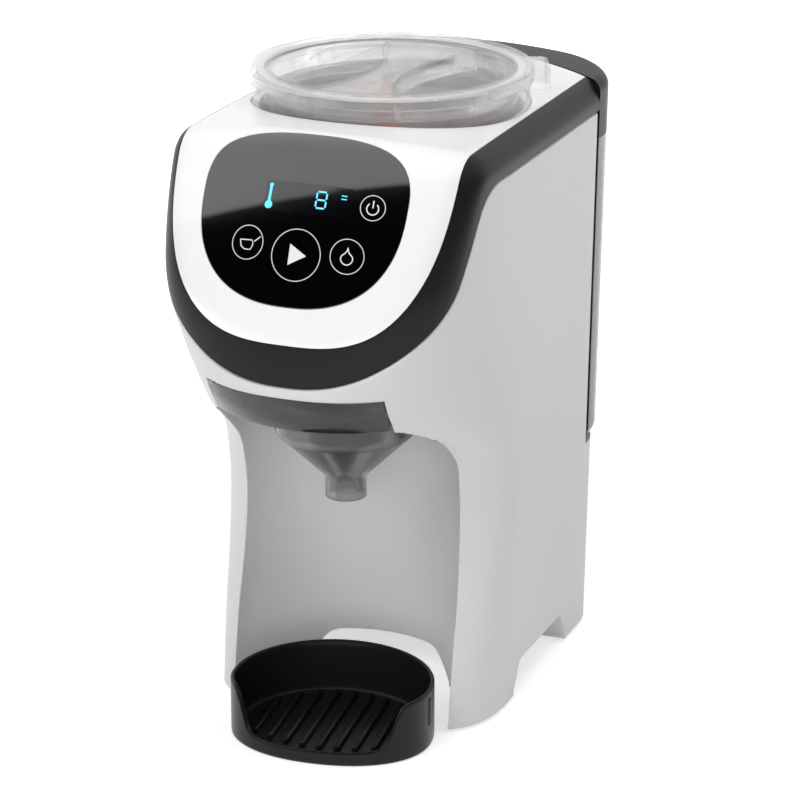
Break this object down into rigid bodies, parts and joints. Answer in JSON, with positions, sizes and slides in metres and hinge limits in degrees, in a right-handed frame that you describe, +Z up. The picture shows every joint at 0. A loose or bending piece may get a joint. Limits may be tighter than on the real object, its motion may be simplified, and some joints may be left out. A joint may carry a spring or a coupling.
{
  "type": "baby formula maker",
  "caption": "Countertop machine that doses milk powder from a round hopper, heats water from a rear tank and mixes both in a funnel over a bottle bay with a drip tray.",
  "frame": {"origin": "on the table under the middle of the machine's width and depth", "axes": "+Z up, -Y towards the user, X across the machine, which is close to mirror-symmetric about X = 0"},
  "size_m": [0.1674, 0.2708, 0.3316],
  "materials": {
    "housing_grey": "satin, light warm grey",
    "fascia_white": "glossy white",
    "trim_black": "satin near-black",
    "panel_black": "high gloss black",
    "board_green": "satin circuit board",
    "lcd_grey": "satin",
    "clear_smoke": "clear, lightly smoked",
    "tank_smoke": "clear, smoked dark",
    "funnel_smoke": "clear, smoked dark",
    "wheel_orange": "glossy orange",
    "inner_white": "satin white",
    "inner_grey": "satin grey",
    "gear_pom": "satin off-white",
    "steel": "bright drawn steel",
    "motor_can": "satin grey metal",
    "seal_rubber": "soft translucent grey",
    "foot_rubber": "soft black",
    "hose_silicone": "soft milky",
    "tray_black": "glossy black"
  },
  "bodies": {
    "base": {"main_housing": "housing_grey", "bay_liner": "housing_grey", "tank_cradle": "housing_grey", "trim_band": "trim_black", "top_fascia": "fascia_white", "panel_lens": "panel_black", "touch_board": "board_green", "lcd_module": "lcd_grey", "base_plate": "inner_grey", "base_screws": "steel", "rubber_feet": "foot_rubber", "cord_gland": "trim_black", "container_seat": "inner_white", "powder_chute": "inner_white", "gearbox_case": "inner_grey", "gearbox_cover": "inner_grey", "dosing_motor": "motor_can", "inner_frame": "inner_grey", "funnel_sensor": "trim_black", "water_nozzle": "inner_white", "water_pump": "inner_grey", "flow_heater": "steel", "inlet_tube": "hose_silicone", "heater_tube": "hose_silicone", "nozzle_tube": "hose_silicone", "power_board": "board_green", "valve_socket": "foot_rubber"},
    "tank": {"water_tank": "tank_smoke", "lid_hinge_pin": "steel", "valve_guide": "tank_smoke", "valve_spring": "steel"},
    "tank_cap": {"tank_lid": "trim_black"},
    "outlet_valve": {"tank_valve": "inner_white"},
    "container": {"powder_container": "clear_smoke", "container_base": "inner_grey", "powder_wiper": "inner_white"},
    "agitator": {"mixing_wheel": "wheel_orange", "dosing_disc": "inner_white"},
    "lid_ring": {"lid_seal": "seal_rubber"},
    "lid": {"container_lid": "clear_smoke"},
    "drive": {"drive_gear": "gear_pom", "drive_coupling": "inner_grey"},
    "pinion": {"motor_pinion": "gear_pom"},
    "mixing_funnel": {"funnel": "funnel_smoke"},
    "tray": {"drip_tray": "tray_black"}
  },
  "joints": [
    {"name": "tank_lift", "type": "slide", "parent": "base", "child": "tank", "axis": [0, 0, 1], "range_m": [0, 0.2]},
    {"name": "tank_cap_hinge", "type": "hinge", "parent": "tank", "child": "tank_cap", "pos_m": [0, 0.1321, 0.2764], "axis": [-1, 0, 0], "range_deg": [0, 88]},
    {"name": "outlet_valve_slide", "type": "slide", "parent": "tank", "child": "outlet_valve", "axis": [0, 0, 1], "range_m": [0, 0.003], "stiffness_N_per_m": 150, "springref_m": -0.002, "deforming": ["valve_spring"]},
    {"name": "container_lift", "type": "slide", "parent": "base", "child": "container", "axis": [0, 0, 1], "range_m": [0, 0.1]},
    {"name": "wheel_spin", "type": "hinge", "parent": "container", "child": "agitator", "pos_m": [0, 0.007, 0.25], "axis": [0, 0, 1], "continuous": true},
    {"name": "lid_turn", "type": "hinge", "parent": "container", "child": "lid_ring", "pos_m": [0, 0.007, 0.329], "axis": [0, 0, 1], "range_deg": [0, 25]},
    {"name": "lid_lift", "type": "slide", "parent": "lid_ring", "child": "lid", "axis": [0, 0, 1], "range_m": [0, 0.06]},
    {"name": "drive_spin", "type": "hinge", "parent": "base", "child": "drive", "pos_m": [0, 0.007, 0.217], "axis": [0, 0, 1], "continuous": true},
    {"name": "pinion_spin", "type": "hinge", "parent": "base", "child": "pinion", "pos_m": [0, 0.043, 0.217], "axis": [0, 0, 1], "continuous": true},
    {"name": "funnel_slide", "type": "slide", "parent": "base", "child": "mixing_funnel", "axis": [0, -1, 0], "range_m": [0, 0.11]},
    {"name": "tray_slide", "type": "slide", "parent": "base", "child": "tray", "axis": [0, -1, 0], "range_m": [0, 0.08]}
  ],
  "couplings": [
    {"joint": "wheel_spin", "follows": "drive_spin", "ratio": 1},
    {"joint": "pinion_spin", "follows": "drive_spin", "ratio": -3}
  ]
}
